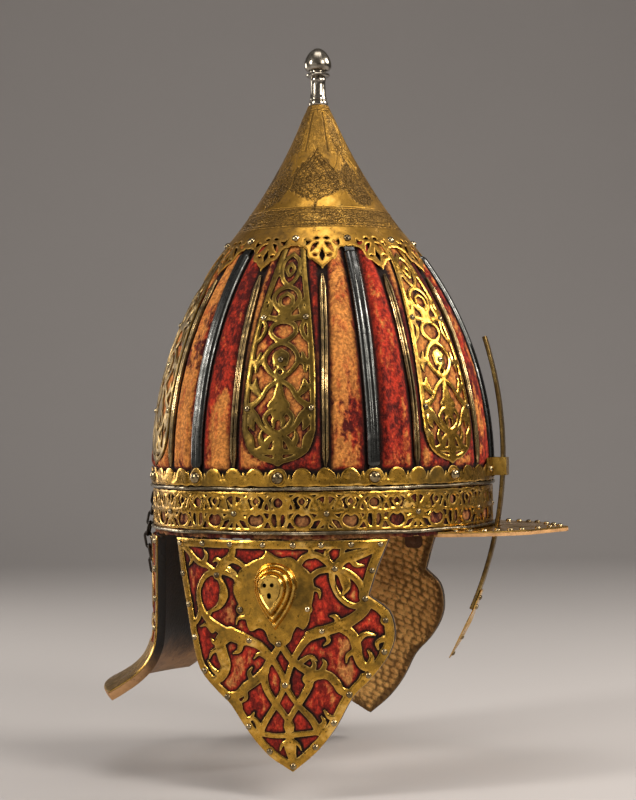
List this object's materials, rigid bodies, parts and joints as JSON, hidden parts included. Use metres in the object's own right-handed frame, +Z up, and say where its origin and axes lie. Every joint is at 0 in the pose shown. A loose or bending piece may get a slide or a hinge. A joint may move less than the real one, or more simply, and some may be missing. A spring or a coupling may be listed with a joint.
{
  "type": "turkish helmet",
  "caption": "Velvet-covered pointed helmet with gilt openwork, steel ribs, a finial, a peak with a sliding nasal, hinged cheekpieces and a chained neck guard.",
  "frame": {"origin": "centre of the head opening, in the plane of the bowl's rim", "axes": "+X forward, towards the peak; +Y the wearer's left; +Z up, towards the finial"},
  "size_m": [0.2928, 0.2282, 0.4371],
  "materials": {
    "skull_steel": "smooth forged steel, dull",
    "rib_steel": "dark polished steel",
    "bright_steel": "silvery polished steel",
    "chain_iron": "dark forged iron",
    "gilt": "fire-gilt copper, worn",
    "gilt_dark": "fire-gilt copper, toned dark",
    "brass_strip": "drawn brass, toned",
    "velvet_red": "worn crimson velvet on linen",
    "lining_suede": "quilted golden-brown suede, padded",
    "leather_brown": "smooth brown leather"
  },
  "bodies": {
    "helmet": {"skull": "skull_steel", "velvet_cover": "velvet_red", "head_lining": "lining_suede", "crown_disc": "leather_brown", "crown_cap": "gilt", "cap_rivets": "bright_steel", "finial_socket": "bright_steel", "finial_knob": "bright_steel", "finial_washer": "skull_steel", "steel_rib_1": "rib_steel", "steel_rib_2": "rib_steel", "steel_rib_3": "rib_steel", "steel_rib_4": "rib_steel", "steel_rib_5": "rib_steel", "steel_rib_6": "rib_steel", "openwork_panel_1": "gilt_dark", "openwork_panel_2": "gilt_dark", "openwork_panel_3": "gilt_dark", "openwork_panel_4": "gilt_dark", "openwork_panel_5": "gilt_dark", "openwork_panel_6": "gilt_dark", "bead_ribs": "brass_strip", "panel_rivets": "bright_steel", "scallop_band": "gilt", "band_rivets": "bright_steel", "brow_band": "gilt", "band_backing": "velvet_red", "brow_rivets": "bright_steel", "band_wires": "bright_steel", "peak_plate": "gilt", "peak_lining": "leather_brown", "peak_rivets": "bright_steel", "nasal_bracket": "gilt", "bracket_rivets": "bright_steel", "rear_staple": "chain_iron"},
    "nasal": {"nasal_bar": "brass_strip", "nasal_leaf": "gilt", "nasal_rivets": "bright_steel"},
    "cheek_right": {"cheek_right_plate": "skull_steel", "cheek_right_velvet": "velvet_red", "cheek_right_openwork": "gilt", "cheek_right_ear_boss": "gilt", "cheek_right_lining": "leather_brown", "cheek_right_rivets": "bright_steel", "cheek_right_straps": "leather_brown"},
    "cheek_left": {"cheek_left_plate": "skull_steel", "cheek_left_velvet": "velvet_red", "cheek_left_openwork": "gilt", "cheek_left_ear_boss": "gilt", "cheek_left_lining": "leather_brown", "cheek_left_rivets": "bright_steel", "cheek_left_straps": "leather_brown"},
    "neck_guard": {"neck_plate": "skull_steel", "neck_velvet": "velvet_red", "neck_openwork": "gilt", "neck_lining": "leather_brown", "neck_rivets": "bright_steel", "neck_staple": "chain_iron"},
    "chain_upper": {"chain_upper": "chain_iron"},
    "chain_lower": {"chain_lower": "chain_iron"}
  },
  "joints": [
    {"name": "nasal_slide", "type": "hinge", "parent": "helmet", "child": "nasal", "pos_m": [-0.1252, 0, 0.046], "axis": [0, -1, 0], "range_deg": [-5, 8]},
    {"name": "cheek_right_hang", "type": "hinge", "parent": "helmet", "child": "cheek_right", "pos_m": [0, -0.1075, -0.002], "axis": [-1, 0, 0], "range_deg": [0, 90], "deforming": ["cheek_right_straps"]},
    {"name": "cheek_left_hang", "type": "hinge", "parent": "helmet", "child": "cheek_left", "pos_m": [0, 0.1075, -0.002], "axis": [1, 0, 0], "range_deg": [0, 90], "deforming": ["cheek_left_straps"]},
    {"name": "neck_hang", "type": "hinge", "parent": "helmet", "child": "neck_guard", "pos_m": [-0.1075, 0, -0.002], "axis": [0, 1, 0], "range_deg": [0, 45]},
    {"name": "chain_upper_swing", "type": "hinge", "parent": "helmet", "child": "chain_upper", "pos_m": [-0.1115, 0, 0.02], "axis": [0, 1, 0], "range_deg": [0, 45]},
    {"name": "chain_lower_swing", "type": "hinge", "parent": "neck_guard", "child": "chain_lower", "pos_m": [-0.1135, 0, -0.029], "axis": [0, 1, 0], "range_deg": [-45, 0]}
  ],
  "couplings": [
    {"joint": "chain_upper_swing", "follows": "neck_hang", "ratio": 1},
    {"joint": "chain_lower_swing", "follows": "neck_hang", "ratio": -1}
  ]
}
